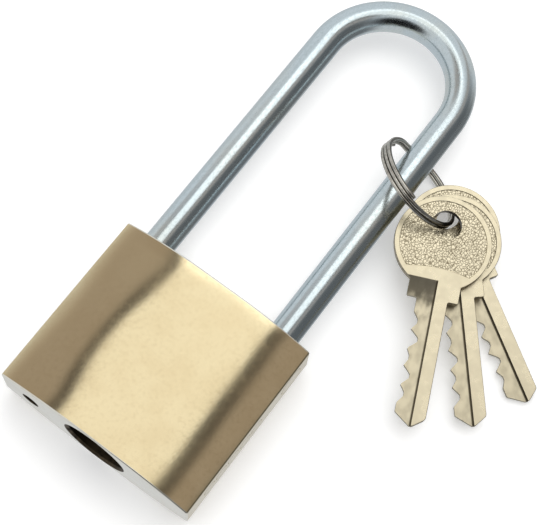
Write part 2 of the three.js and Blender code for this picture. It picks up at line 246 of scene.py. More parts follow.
def cut(made, cutters, face_material=0):
    """Subtract the cutters' shapes from a piece. The new faces take one of its materials."""
    tools = []
    for i, shape in enumerate(cutters):
        tool = new_piece(f"cutter_{i}", shape, *made.data.materials)
        for face in tool.data.polygons:
            face.material_index = face_material
        tools.append(tool)
        step = made.modifiers.new("cut", "BOOLEAN")
        step.operation = "DIFFERENCE"
        step.solver = "EXACT"
        step.object = tool
    bpy.context.view_layer.update()
    graph = bpy.context.evaluated_depsgraph_get()
    mesh = bpy.data.meshes.new_from_object(made.evaluated_get(graph))
    made.modifiers.clear()
    made.data = mesh
    for tool in tools:
        bpy.data.objects.remove(tool)


def shade(made, crease=35):
    """Shade a piece smoothly, apart from edges that turn by more than an angle."""
    made.data.shade_smooth()
    made.data.set_sharp_from_angle(angle=math.radians(crease))


def settle(made, body, slot, *nodes, crease=35):
    """Shade a finished piece, tie it to its body and hide the CAD nodes that it stands for. The
    slot is not used.
    """
    shade(made, crease)
    even = made.modifiers.new("even normals", "WEIGHTED_NORMAL")
    even.keep_sharp = True
    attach(made, body)
    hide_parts(*nodes)


OWN_PLACE = "own_place"


def carry(made, place):
    """Move a piece's points to where it lies, and keep their own places for its materials."""
    own = made.data.attributes.new(OWN_PLACE, "FLOAT_VECTOR", "POINT")
    for kept, vertex in zip(own.data, made.data.vertices):
        kept.vector = vertex.co
    made.data.transform(place)


def circle(radius, steps, start=0.0):
    """Points (u, v) round a circle."""
    angles = [start + 2 * math.pi * i / steps for i in range(steps)]
    return [(radius * math.cos(a), radius * math.sin(a)) for a in angles]


def placed(axis, along, u, v):
    """A point from its place along an axis and its two places across it."""
    if axis == "x":
        return (along, u, v)
    if axis == "y":
        return (u, along, v)
    return (u, v, along)


def turned(profile, axis, centre, steps=64):
    """A form of revolution from (radius, place along the axis) pairs."""
    return skin([
        [placed(axis, along, centre[0] + u, centre[1] + v) for u, v in circle(radius, steps)]
        for radius, along in profile
    ])


def prism(points, axis, low, high):
    """A flat outline carried from one place to another along an axis."""
    return skin([[placed(axis, along, u, v) for u, v in points] for along in (low, high)])


def inset(points, distance):
    """A closed counter-clockwise outline moved inwards."""
    count = len(points)
    moved = []
    for i, (x, y) in enumerate(points):
        before, after = points[i - 1], points[(i + 1) % count]
        first = Vector((x - before[0], y - before[1])).normalized()
        second = Vector((after[0] - x, after[1] - y)).normalized()
        inward = Vector((-first.y - second.y, first.x + second.x))
        if inward.length < 1e-6:
            moved.append((x, y))
            continue
        inward.normalize()
        share = max(0.5, inward.dot(Vector((-first.y, first.x))))
        moved.append((x + inward.x * distance / share, y + inward.y * distance / share))
    return moved


def corner(before, here, after, radius, steps=4):
    """The points that round off one corner of an outline."""
    here = Vector(here)
    back = Vector(before) - here
    ahead = Vector(after) - here
    reach = min(radius, back.length * 0.45, ahead.length * 0.45)
    start = here + back.normalized() * reach
    end = here + ahead.normalized() * reach
    made = []
    for i in range(steps + 1):
        t = i / steps
        point = start * (1 - t) ** 2 + here * 2 * t * (1 - t) + end * t ** 2
        made.append((point.x, point.y))
    return made


def rounded(points, radius):
    """A closed outline with its corners rounded."""
    made = []
    for i, here in enumerate(points):
        made += corner(points[i - 1], here, points[(i + 1) % len(points)], radius)
    return made


def rounded_run(points, radius):
    """An open run of points with its inner corners rounded."""
    made = [points[0]]
    for i in range(1, len(points) - 1):
        made += corner(points[i - 1], points[i], points[i + 1], radius)
    return made + [points[-1]]


def round_over(radius, steps):
    """A rounded edge as (height above the face, distance inwards) pairs, from the face up."""
    angles = [math.pi / 2 * (1 - i / steps) for i in range(steps + 1)]
    return [(radius * (1 - math.sin(a)), radius * (1 - math.cos(a))) for a in angles]


# ---------- shader tools ----------


class Value:
    """A number on a node's output, so that shader maths reads as arithmetic."""

    def __init__(self, graph, socket):
        self.graph = graph
        self.socket = socket

    def _math(self, operation, first, second):
        return self.graph.node("ShaderNodeMath", {"operation": operation}, {0: first, 1: second})

    def __add__(self, other):
        return self._math("ADD", self, other)

    def __sub__(self, other):
        return self._math("SUBTRACT", self, other)

    def __rsub__(self, other):
        return self._math("SUBTRACT", other, self)

    def __mul__(self, other):
        return self._math("MULTIPLY", self, other)

    def __truediv__(self, other):
        return self._math("DIVIDE", self, other)

    __radd__ = __add__
    __rmul__ = __mul__


class Graph:
    """The nodes of one material or world."""

    def __init__(self, owner, own_place=False):
        self.owner = owner
        self.own_place = own_place
        owner.use_nodes = True
        self.tree = owner.node_tree
        self.tree.nodes.clear()

    def node(self, kind, settings=None, inputs=None, output=0):
        """Add a node: first its settings, then what its sockets take. Gives back one output."""
        made = self.tree.nodes.new(kind)
        for name, value in (settings or {}).items():
            setattr(made, name, value)
        for name, value in (inputs or {}).items():
            if isinstance(value, Value):
                self.tree.links.new(value.socket, made.inputs[name])
            else:
                made.inputs[name].default_value = value
        return Value(self, made.outputs[output]) if made.outputs else None

    def place(self, scale=(1, 1, 1)):
        """The position on the piece in millimetres, stretched by a scale."""
        if self.own_place:
            where = self.node("ShaderNodeAttribute", {"attribute_name": OWN_PLACE}, output="Vector")
        else:
            where = self.node("ShaderNodeTexCoord", output="Object")
        stretch = tuple(s / MM for s in scale)
        return self.node("ShaderNodeVectorMath", {"operation": "MULTIPLY"}, {0: where, 1: stretch})

    def coordinate(self, where, axis):
        """One coordinate of a position or direction."""
        return self.node("ShaderNodeSeparateXYZ", None, {"Vector": where}, axis)

    def noise(self, size, detail=3.0, scale=(1, 1, 1)):
        """Soft noise whose blotches are about this many millimetres across."""
        return self.node(
            "ShaderNodeTexNoise", None,
            {"Vector": self.place(scale), "Scale": 1 / size, "Detail": detail},
        )

    def between(self, value, low, high):
        """A smooth rise from 0 to 1 as a value goes from low to high."""
        return self.node(
            "ShaderNodeMapRange", {"interpolation_type": "SMOOTHSTEP"},
            {"Value": value, "From Min": low, "From Max": high},
        )

    def mix(self, share, first, second):
        """A colour between two colours."""
        first = first if isinstance(first, Value) else (*first, 1)
        second = second if isinstance(second, Value) else (*second, 1)
        inputs = {"Factor": share, 6: first, 7: second}
        return self.node("ShaderNodeMix", {"data_type": "RGBA"}, inputs, 2)

    def bump(self, height, depth, below=None):
        """Surface relief of a depth in millimetres."""
        inputs = {"Height": height, "Distance": depth * MM, "Strength": 1.0}
        if below is not None:
            inputs["Normal"] = below
        return self.node("ShaderNodeBump", None, inputs)

    def metal(self, colour, roughness, normal):
        """Make the material a metal surface, and give the material back."""
        surface = self.node(
            "ShaderNodeBsdfPrincipled", None,
            {"Base Color": colour, "Metallic": 1.0, "Roughness": roughness, "Normal": normal},
        )
        self.node("ShaderNodeOutputMaterial", None, {"Surface": surface})
        return self.owner


def new_material(name, own_place=False):
    return Graph(bpy.data.materials.new(name), own_place)


def satin_brass(name, settings, wear=1.0, bright=None):
    """Brass with a satin polish, faintly clouded by handling."""
    graph = new_material(name)
    bright = bright or settings.brass
    cloud = graph.between(graph.noise(7.0, 5.0), 0.35, 0.7)
    speck = graph.between(graph.noise(0.9, 4.0), 0.45, 0.75)
    polish = graph.noise(0.25, 3.0, (1, 0.12, 1))
    colour = graph.mix(cloud * 0.28 * wear, bright, settings.brass_dull)
    colour = graph.mix(speck * 0.22 * wear, colour, settings.brass_dull)
    roughness = settings.brass_roughness + cloud * 0.03 + speck * 0.03
    relief = graph.bump(polish, 0.0016, graph.bump(graph.noise(0.6, 3.0), 0.003))
    return graph.metal(colour, roughness, relief)


def bore_shade_brass(name):
    """Brass with painted shade: dark brown to black, standing in for the shade inside a drilled
    hole.
    """
    graph = new_material(name)
    cloud = graph.between(graph.noise(1.8, 4.0), 0.35, 0.7)
    ring = graph.noise(0.4, 3.0, (0.3, 1, 0.3))
    colour = graph.mix(cloud, BORE_SHADE_BROWN, BORE_SHADE_BLACK)
    return graph.metal(colour, 0.42 + cloud * 0.2, graph.bump(ring, 0.02))


def zinc_plate(name, settings):
    """Bright zinc plate: blue-grey, with a slight straw tint in places and a fine grain."""
    graph = new_material(name)
    tint = graph.between(graph.noise(9.0, 3.0, (1, 0.35, 1)), 0.42, 0.68)
    speck = graph.between(graph.noise(0.45, 3.0, (1, 0.5, 1)), 0.4, 0.75)
    colour = graph.mix(tint * 0.35, settings.plate, settings.plate_straw)
    colour = graph.mix(speck * 0.3, colour, settings.plate_dull)
    roughness = settings.plate_roughness + speck * 0.08 + tint * 0.03
    relief = graph.bump(graph.noise(0.35, 3.0, (1, 0.6, 1)), 0.003)
    return graph.metal(colour, roughness, relief)


def drawn_wire(name, bright, dull, roughness):
    """Drawn steel wire with short streaks along it."""
    graph = new_material(name)
    streak = graph.between(graph.noise(0.9, 4.0), 0.4, 0.75)
    colour = graph.mix(streak * 0.45, bright, dull)
    relief = graph.bump(graph.noise(0.3, 2.0), 0.002)
    return graph.metal(colour, roughness + streak * 0.1, relief)


def key_nickel(name, settings, own_place=False):
    """Warm nickel, rolled and tumbled: fine scratches and small dull patches."""
    graph = new_material(name, own_place)
    cloud = graph.between(graph.noise(2.2, 5.0), 0.38, 0.68)
    scratch = graph.noise(0.3, 3.0, (1, 0.1, 1))
    colour = graph.mix(cloud * 0.22, settings.nickel, settings.nickel_dull)
    roughness = settings.nickel_roughness + cloud * 0.06
    relief = graph.bump(scratch, 0.004, graph.bump(graph.noise(0.5, 4.0), 0.008))
    return graph.metal(colour, roughness, relief)


def key_pebble(name, settings):
    """The coined field of the key's head: small raised pebbles with dirt between them."""
    graph = new_material(name, True)
    drift = graph.node(
        "ShaderNodeTexNoise", None, {"Vector": graph.place(), "Scale": 2.0, "Detail": 2.0}, "Color"
    )
    where = graph.node(
        "ShaderNodeVectorMath", {"operation": "MULTIPLY_ADD"},
        {0: drift, 1: (0.5, 0.5, 0.5), 2: graph.place()},
    )
    edge = graph.node(
        "ShaderNodeTexVoronoi", {"feature": "DISTANCE_TO_EDGE"},
        {"Vector": where, "Scale": 1 / settings.pebble, "Randomness": 1.0}, "Distance",
    )
    height = graph.between(edge, 0.0, 0.22)
    grime = 1 - graph.between(edge, 0.015, 0.12)
    cloud = graph.between(graph.noise(2.5, 4.0), 0.4, 0.7)
    colour = graph.mix(cloud * 0.4, PEBBLE_TOP, settings.nickel_dull)
    colour = graph.mix(grime * 0.95, colour, settings.nickel_grime)
    return graph.metal(colour, settings.nickel_roughness + grime * 0.15, graph.bump(height, 0.014))


def milled_nickel_and_shade(name, settings):
    """The blade's milled step: dull, with cutter marks and stains. Painted shade darkens it towards
    the head, where the scoop runs out under the shoulder, and a line of dirt and painted shade runs
    along the foot of its wall.
    """
    graph = new_material(name, True)
    where = graph.place()
    along = graph.coordinate(where, "Y")
    stain = graph.between(graph.noise(1.6, 4.0, (1, 0.6, 1)), 0.3, 0.75)
    # painted shade, darkest towards the head where the scoop runs out
    run_out = graph.between(along + stain * 3, MILLED_TOP - 8.5, MILLED_TOP - 1)
    marks = graph.noise(0.35, 2.0, (0.15, 1, 1))
    # dirt and painted shade in a thin line along the foot of the step's wall
    foot = graph.between(graph.coordinate(where, "X"), 0.0, 0.22)
    colour = graph.mix(stain * 0.5, settings.nickel, MILLED_DULL)
    colour = graph.mix(run_out * 0.85, colour, SCOOP_SHADE_DARK)
    colour = graph.mix(foot * 0.9, colour, FOOT_DIRT_AND_SHADE)
    return graph.metal(colour, 0.34 + stain * 0.1, graph.bump(marks, 0.01))


def punched_nickel(name):
    """The punched edge of the key: dull and darker, with streaks from face to face."""
    graph = new_material(name, True)
    streak = graph.between(graph.noise(0.5, 3.0, (1, 1, 0.2)), 0.35, 0.7)
    colour = graph.mix(streak * 0.6, EDGE_PALE, EDGE_DARK)
    return graph.metal(colour, 0.36 + streak * 0.12, graph.bump(streak, 0.012))


# ---------- sizes and colours ----------


def colour_setting(name, description, default):
    return FloatVectorProperty(
        name=name, description=description, subtype="COLOR", size=3, min=0, max=1, default=default
    )


def number_setting(name, description, default, low, high, **more):
    return FloatProperty(
        name=name, description=description, default=default, min=low, max=high, **more
    )


def length_setting(name, description, default, low, high):
    """A setting in metres, from a default and limits in millimetres."""
    sizes = (default * MM, low * MM, high * MM)
    return number_setting(name, description, *sizes, unit="LENGTH", precision=5)


def share_setting(name, description, default, low=0.02, high=1.0):
    return number_setting(name, description, default, low, high, subtype="FACTOR")


class PadlockBodySettings(bpy.types.PropertyGroup):
    edge_round: length_setting("Edge rounding", "Radius of the body's edges", 0.35, 0.1, 0.45)
    waviness: share_setting("Waviness", "How far polishing has dished the faces", 1.0, 0.0, 2.0)
    brass: colour_setting("Brass", "Colour of clean brass", (0.78, 0.665, 0.43))
    brass_dull: colour_setting("Dull brass", "Colour of handled brass", (0.64, 0.50, 0.29))
    brass_roughness: share_setting("Roughness", "Roughness of the satin polish", 0.13)


class PadlockShackleSettings(bpy.types.PropertyGroup):
    bow_steps: IntProperty(
        name="Bow steps", description="Sections round the bow", default=72, min=24, max=180
    )
    plate: colour_setting("Plate", "Colour of the zinc plate", (0.67, 0.76, 0.80))
    plate_straw: colour_setting("Straw tint", "Tint in the plate", (0.76, 0.74, 0.64))
    plate_dull: colour_setting("Dull plate", "Colour of its fine grain", (0.48, 0.57, 0.59))
    plate_roughness: share_setting("Roughness", "Roughness of the plate", 0.2)


class PadlockRingSettings(bpy.types.PropertyGroup):
    wire_high: length_setting("Wire height", "Height of one turn of wire", 0.88, 0.7, 0.97)
    wire_wide: length_setting("Wire width", "Width of the wire, inside to outside", 1.1, 0.7, 1.1)
    dark: colour_setting("Ring nickel", "Colour of the ring's dark nickel", (0.60, 0.57, 0.51))
    dark_dull: colour_setting("Worn nickel", "Colour where it is worn", (0.15, 0.14, 0.12))


class PadlockKeySettings(bpy.types.PropertyGroup):
    edge_round: length_setting("Edge rounding", "Radius of the blank's edges", 0.14, 0.05, 0.3)
    rim_wide: length_setting("Rim width", "Width of the head's raised rim", 1.1, 0.5, 3)
    field_deep: length_setting("Field depth", "Depth of the pebbled field", 0.2, 0.05, 0.5)
    pebble: number_setting("Pebble size", "Size of one pebble in millimetres", 0.6, 0.2, 2.0)
    nickel: colour_setting("Nickel", "Colour of the keys", (0.78, 0.70, 0.515))
    nickel_dull: colour_setting("Dull nickel", "Colour of dull patches", (0.64, 0.57, 0.42))
    nickel_grime: colour_setting("Grime", "Colour of dirt between pebbles", (0.22, 0.18, 0.11))
    nickel_roughness: share_setting("Roughness", "Roughness of the keys", 0.27)


class PadlockStageSettings(bpy.types.PropertyGroup):
    lens: number_setting("Lens", "Focal length in millimetres", 100.0, 20, 300)
    floor: colour_setting("Floor", "Colour of the floor", (0.9, 0.9, 0.9))
    softbox: number_setting("Softbox", "Brightness of the softbox", 1.02, 0, 20)
    room: number_setting("Room", "Brightness of the room", 0.75, 0, 10)


class PadlockSettings(bpy.types.PropertyGroup):
    body: PointerProperty(type=PadlockBodySettings)
    shackle: PointerProperty(type=PadlockShackleSettings)
    ring: PointerProperty(type=PadlockRingSettings)
    keys: PointerProperty(type=PadlockKeySettings)
    stage: PointerProperty(type=PadlockStageSettings)


# ---------- lock body ----------


def half_thickness(x):
    """Half of the body's thickness at a distance from its centre line."""
    along = max(0.0, (abs(x) - FLAT_HALF) / (SIDE - FLAT_HALF))
    return BODY_EDGE / 2 + (BODY_MIDDLE - BODY_EDGE) / 2 * (1 - along ** BULGE_POWER)


def polish_wave(x, y):
    """How far hand polishing has moved the face out of its true bulge, in millimetres."""
    ends = -math.cos(2 * math.pi * (y + 2) / 46)
    left = 0.030 * ends * (x + 11) * math.exp(-((x + 11) / 8) ** 2)
    right = -0.020 * (y / 20) * (x - 18) * math.exp(-((x - 18) / 8) ** 2)
    ripple = 0.006 * math.sin(x / 1.9 + 1.3 * math.sin(y / 4.3)) * math.cos(y / 3.1)
    return left + right + ripple


def body_section(y, waviness):
    """The body's closed outline in X and Z at one place along Y, counter-clockwise."""
    tilt = math.atan((BODY_MIDDLE - BODY_EDGE) / 2 * BULGE_POWER / (SIDE - FLAT_HALF))
    reach = SIDE - CORNER_RADIUS * (1 - math.sin(tilt))
    fade = min(1.0, (TOP - abs(y)) / 1.5)
    front = []
    for i in range(BODY_ACROSS + 1):
        x = reach * (1 - 2 * i / BODY_ACROSS)
        wave = waviness * fade * polish_wave(x, y) * (1 - (x / reach) ** 8)
        front.append((x, half_thickness(x), wave))
    centre_x = SIDE - CORNER_RADIUS
    centre_z = half_thickness(reach) - CORNER_RADIUS * math.cos(tilt)
    edge = []
    for i in range(CORNER_STEPS):
        angle = (math.pi / 2 - tilt) * i / CORNER_STEPS
        x = centre_x + CORNER_RADIUS * math.cos(angle)
        edge.append((x, centre_z + CORNER_RADIUS * math.sin(angle)))
    top = [(x, z + wave) for x, z, wave in front]
    bottom = [(-x, -z + max(0.0, wave) * 0.6) for x, z, wave in front]
    right = [(x, -z) for x, z in reversed(edge[1:])] + edge
    left = [(-x, -z) for x, z in right]
    return [(x, MID_Z + z) for x, z in right + top + left + bottom]


def body_shape(settings):
    """The bulged block with rounded ends."""
    radius = settings.edge_round / MM
    ends = [(BOTTOM + up, inwards) for up, inwards in round_over(radius, 4)]
    long = TOP - BOTTOM - 2 * radius
    rows = [(BOTTOM + radius + long * i / BODY_ROWS, 0.0) for i in range(1, BODY_ROWS)]
    rings = []
    for y, distance in ends + rows + [(-y, d) for y, d in reversed(ends)]:
        outline = inset(body_section(y, settings.waviness), distance)
        rings.append([(x, y, z) for x, z in outline])
    return skin(rings)


def lipped(radius, low, high, axis, centre, lip=LIP, steps=48):
    """A round hole's cutter, with a small chamfer where it breaks out at its high end."""
    profile = [(radius, low), (radius, high - lip), (radius + lip + 1, high + 1)]
    return turned(profile, axis, centre, steps)


class PADLOCK_OT_body(bpy.types.Operator):
    """Build the brass body with its bores and holes"""

    bl_idname = "padlock.body"
    bl_label = "Lock body"

    def execute(self, context):
        settings = context.scene.padlock.body
        brass = satin_brass("satin_brass", settings)
        # the walls of the holes are given painted shade: dark brass for the shade inside them
        bore = bore_shade_brass("bore_painted_shade")
        # the end faces get a paler milled brass, partly a real finish and partly a painted
        # reflection of their pale grazing sheen
        milled = satin_brass("milled_brass_and_sheen", settings, 0.5, MILLED_BRASS_AND_SHEEN)
        made = new_piece("body_shell", body_shape(settings), brass, bore, milled)
        drop = MOUTH_RADIUS - PLUG_BORE_RADIUS
        plug_bore = [
            (MOUTH_RADIUS + 1, BOTTOM - 1),
            (PLUG_BORE_RADIUS, BOTTOM + drop), (PLUG_BORE_RADIUS, PLUG_BORE_END),
        ]
        drain = [
            (DRAIN_RADIUS + LIP + 1, BOTTOM - 1),
            (DRAIN_RADIUS, BOTTOM + LIP), (DRAIN_RADIUS, HEEL_BORE_END + 1),
        ]
        tail_room = [(TAIL_ROOM_RADIUS, PLUG_BORE_END - 1), (TAIL_ROOM_RADIUS, TAIL_ROOM_END)]
        holes = [
            turned(plug_bore, "y", (0, MID_Z), 96),
            turned(tail_room, "y", (0, MID_Z)),
            lipped(LEG_BORE_RADIUS, HEEL_BORE_END, TOP, "y", (-LEG_X, MID_Z), steps=64),
            lipped(LEG_BORE_RADIUS, TOE_END - 0.5, TOP, "y", (LEG_X, MID_Z), steps=64),
            turned(drain, "y", (-LEG_X, MID_Z), 48),
            lipped(CHANNEL_RADIUS, CHANNEL_LEFT, SIDE, "x", (LATCH_Y, MID_Z), 0.12),
        ]
        cut(made, holes, 1)
        small = []
        for y in PIN_YS:
            shaft = [(CHAMBER_RADIUS, 3.0), (CHAMBER_RADIUS, CHAMBER_MOUTH + 0.5)]
            small.append(turned(shaft, "x", (y, MID_Z), 32))
            small.append(
                lipped(CHAMBER_PLUG_RADIUS, CHAMBER_MOUTH, SIDE, "x", (y, MID_Z), 0.08, steps=32)
            )
        for x, y, radius in RETAINERS:
            small.append(turned([(radius, -1.0), (radius, RETAINER_TOP)], "z", (x, y), 32))
        cut(made, small, 1)
        # The mouth and drain chamfers keep the painted shade of the bores. The end faces take the
        # paler milled brass with its painted reflection, and the right side face takes plain brass.
        for face in made.data.polygons:
            x, y, z = face.center / MM
            in_mouth = math.hypot(x, z - MID_Z) < MOUTH_RADIUS
            in_drain = math.hypot(x + LEG_X, z - MID_Z) < DRAIN_RADIUS + LIP
            if BOTTOM + 0.05 < y < BOTTOM + drop and (in_mouth or in_drain):
                continue
            if y < BOTTOM + drop or y > TOP - 0.3 or x > SIDE - 0.2:
                face.material_index = 2 if abs(y) > TOP - drop else 0
        settle(made, "lock", "body_brass", "lock_body", crease=32)
        return {"FINISHED"}


# ---------- shackle ----------


def shackle_shape(settings):
    """A round bar: heel leg with its neck, round bow, toe leg."""
    chamfer = 0.5
    lip = 0.15
    heel = [
        (ROD_RADIUS - chamfer, HEEL_END), (ROD_RADIUS - chamfer / 4, HEEL_END + chamfer / 2),
        (ROD_RADIUS, HEEL_END + chamfer * 1.2), (ROD_RADIUS, NECK_LOW - lip),
        (ROD_RADIUS - lip, NECK_LOW), (NECK_RADIUS + lip, NECK_LOW),
        (NECK_RADIUS, NECK_LOW + lip), (NECK_RADIUS, NECK_HIGH - lip),
        (NECK_RADIUS + lip, NECK_HIGH), (ROD_RADIUS - lip, NECK_HIGH),
        (ROD_RADIUS, NECK_HIGH + lip), (ROD_RADIUS, TOP),
    ]
    around = circle(1.0, 64)
    rings = [[(-LEG_X - r * u, y, MID_Z + r * v) for u, v in around] for r, y in heel]
    steps = settings.bow_steps
    for i in range(steps + 1):
        angle = math.pi * (1 - i / steps)
        out = Vector((math.cos(angle), math.sin(angle), 0))
        centre = Vector((0, BOW_Y, MID_Z)) + out * LEG_X
        rings.append([
            centre + out * (ROD_RADIUS * u) + Vector((0, 0, ROD_RADIUS * v)) for u, v in around
        ])
    toe = [
        (ROD_RADIUS, TOP), (ROD_RADIUS, TOE_END + 0.8),
        (ROD_RADIUS - 0.2, TOE_END + 0.3), (ROD_RADIUS - 0.6, TOE_END),
    ]
    rings += [[(LEG_X + r * u, y, MID_Z + r * v) for u, v in around] for r, y in toe]
    return skin(rings)


class PADLOCK_OT_shackle(bpy.types.Operator):
    """Build the plated shackle with the neck for its retaining pin and the latch notch"""

    bl_idname = "padlock.shackle"
    bl_label = "Shackle"

    def execute(self, context):
        settings = context.scene.padlock.shackle
        plate = zinc_plate("zinc_plate", settings)
        made = new_piece("shackle_bar", shackle_shape(settings), plate)
        cut(made, [prism(NOTCH, "z", MID_Z - ROD_RADIUS - 1, MID_Z + ROD_RADIUS + 1)])
        settle(made, "shackle", "plated_steel", "shackle")
        return {"FINISHED"}


# ---------- plug, latch, tumblers and springs ----------


def coil_shape(outer, wire, turns, axis, start, end, centre, steps=20, around=8):
    """A compression spring of round wire, its end turns closed, from start to end."""
    radius = outer - wire
    count = int(turns * steps)
    closed = 0.75
    rings = []
    for i in range(count + 1):
        turn = turns * i / count
        inner = min(max(turn - closed, 0), turns - 2 * closed) / (turns - 2 * closed)
        flat_low = min(turn, closed) / closed * 2 * wire
        flat_high = max(0, turn - turns + closed) / closed * 2 * wire
        length = end - start - 6 * wire
        along = start + wire + flat_low + inner * length + flat_high
        angle = 2 * math.pi * turn
        ring = []
        for u, v in circle(wire, around):
            a, b = (radius + u) * math.cos(angle), (radius + u) * math.sin(angle)
            ring.append(placed(axis, along + v, centre[0] + a, centre[1] + b))
        rings.append(ring)
    return skin(rings)


def plug_shape():
    """The plug: a stepped cylinder with a groove for its retaining pin."""
    low, high = RETAINER_Y - GROOVE_HALF, RETAINER_Y + GROOVE_HALF
    profile = [
        (PLUG_RADIUS - 0.4, PLUG_LOW.y), (PLUG_RADIUS, PLUG_LOW.y + 0.4),
        (PLUG_RADIUS, low - 0.1), (PLUG_RADIUS - 0.1, low),
        (PLUG_GROOVE_RADIUS, low), (PLUG_GROOVE_RADIUS, high),
        (PLUG_RADIUS - 0.1, high), (PLUG_RADIUS, high + 0.1),
        (PLUG_RADIUS, PLUG_END - 0.2), (PLUG_RADIUS - 0.2, PLUG_END),
    ]
    return turned(profile, "y", (0, MID_Z), 96)


class PADLOCK_OT_plug(bpy.types.Operator):
    """Build the plug with its keyway and tail, and the key pins and drivers"""

    bl_idname = "padlock.plug"
    bl_label = "Plug and tumblers"

    def execute(self, context):
        settings = context.scene.padlock
        brass = satin_brass("turned_brass", settings.body, 0.6)
        nickel = key_nickel("pin_nickel", settings.keys)
        # the plug core is given the same painted shade, so that its face reads dark at the back of
        # the mouth
        made = new_piece("plug_core", plug_shape(), bore_shade_brass("plug_painted_shade"))
        wide = BLADE_HALF + 0.2
        low, high = MID_Z - KEY_HALF - 0.15, MID_Z + KEY_HALF + 0.15
        step = high - MILLED_DEPTH
        key_hole = [
            (-wide, low), (wide, low), (wide, step),
            (MILLED_SIDE, step), (MILLED_SIDE, high), (-wide, high),
        ]
        cutters = [prism(rounded(key_hole, 0.2), "y", BOTTOM, KEYWAY_END)]
        for y in PIN_YS:
            shaft = [(CHAMBER_RADIUS, 0.2), (CHAMBER_RADIUS, PLUG_RADIUS + 1)]
            cutters.append(turned(shaft, "x", (y, MID_Z), 32))
        cut(made, cutters)
        settle(made, "plug", "plug_brass", "plug")
        tail_at = TAIL_ORBIT * math.sqrt(0.5)
        tail = [
            (TAIL_RADIUS, PLUG_END - 0.4),
            (TAIL_RADIUS, PLUG_HIGH.y - 0.2),
            (TAIL_RADIUS - 0.2, PLUG_HIGH.y),
        ]
        pin = new_piece("plug_tail", turned(tail, "y", (tail_at, MID_Z + tail_at), 24), brass)
        shade(pin)
        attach(pin, "plug")
        for i, y in enumerate(PIN_YS, 1):
            low, high = node_box(f"key_pin_{i}")
            profile = [
                (PIN_RADIUS * 0.25, low.x), (PIN_RADIUS * 0.5, low.x + 0.08),
                (PIN_RADIUS, low.x + 0.7), (PIN_RADIUS, high.x - 0.15), (PIN_RADIUS - 0.15, high.x),
            ]
            pin = new_piece(f"tumbler_{i}_pin", turned(profile, "x", (y, MID_Z), 28), nickel)
            settle(pin, f"tumbler_{i}", "key_nickel", f"key_pin_{i}")
            low, high = node_box(f"driver_pin_{i}")
            waist = PIN_RADIUS - 0.2
            profile = [
                (PIN_RADIUS - 0.12, low.x), (PIN_RADIUS, low.x + 0.12), (PIN_RADIUS, low.x + 1.0),
                (waist, low.x + 1.3), (waist, high.x - 1.3), (PIN_RADIUS, high.x - 1.0),
                (PIN_RADIUS, high.x - 0.12), (PIN_RADIUS - 0.12, high.x),
            ]
            pin = new_piece(f"driver_{i}_pin", turned(profile, "x", (y, MID_Z), 28), brass)
            settle(pin, f"driver_{i}", "plug_brass", f"driver_pin_{i}")
        return {"FINISHED"}


class PADLOCK_OT_springs(bpy.types.Operator):
    """Wind the shackle spring, the latch spring and the five pin springs"""

    bl_idname = "padlock.springs"
    bl_label = "Springs"

    def execute(self, context):
        wire = drawn_wire("spring_wire", SPRING_PALE, SPRING_DARK, 0.25)
        self.coil("shackle_coil", "shackle_spring", wire, 3.1, 0.4, 5.5, "y", (-LEG_X, MID_Z))
        made, low, high = self.coil(
            "latch_coil", "latch_spring", wire, 2.8, 0.3, 6.5, "x", (LATCH_Y, MID_Z)
        )
        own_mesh(made)
        for i, y in enumerate(PIN_YS, 1):
            made, low, high = self.coil(
                f"pin_coil_{i}", f"pin_spring_{i}", wire, 1.35, 0.2, 7.5, "x", (y, MID_Z), 14, 6
            )
            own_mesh(made)
        return {"FINISHED"}

    def coil(self, name, node, finish, outer, wire, turns, axis, centre, *steps):
        """Wind one spring between the ends of its CAD node."""
        low, high = node_box(node)
        start, end = getattr(low, axis), getattr(high, axis)
        shape = coil_shape(outer, wire, turns, axis, start, end, centre, *steps)
        made = new_piece(name, shape, finish)
        settle(made, "lock", "spring_steel", node)
        return made, low, high


class PADLOCK_OT_fittings(bpy.types.Operator):
    """Finish the latch, the retaining pins and the plugs that close the drilled holes"""

    bl_idname = "padlock.fittings"
    bl_label = "Latch, pins and hole plugs"

    def execute(self, context):
        settings = context.scene.padlock.body
        brass = satin_brass("fitted_brass", settings)
        turned_brass = bpy.data.materials["turned_brass"]
        steel = drawn_wire("pin_steel", STEEL_PALE, STEEL_DARK, 0.3)
        finishes = {
            "latch": turned_brass, "channel_plug": brass,
            **{f"chamber_plug_{i}": brass for i in range(1, PIN_COUNT + 1)},
            "heel_retaining_pin": steel, "plug_retaining_pin": steel,
        }
        for name, finish in finishes.items():
            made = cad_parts[name]
            if not made.material_slots:
                made.data.materials.append(finish)
            for slot in made.material_slots:
                slot.material = finish
            if name != "latch":
                edge = made.modifiers.new("worn edge", "BEVEL")
                edge.width = 0.08 * MM
                edge.segments = 2
                edge.limit_method = "ANGLE"
                edge.angle_limit = math.radians(50)
        return {"FINISHED"}


# ---------- split ring ----------


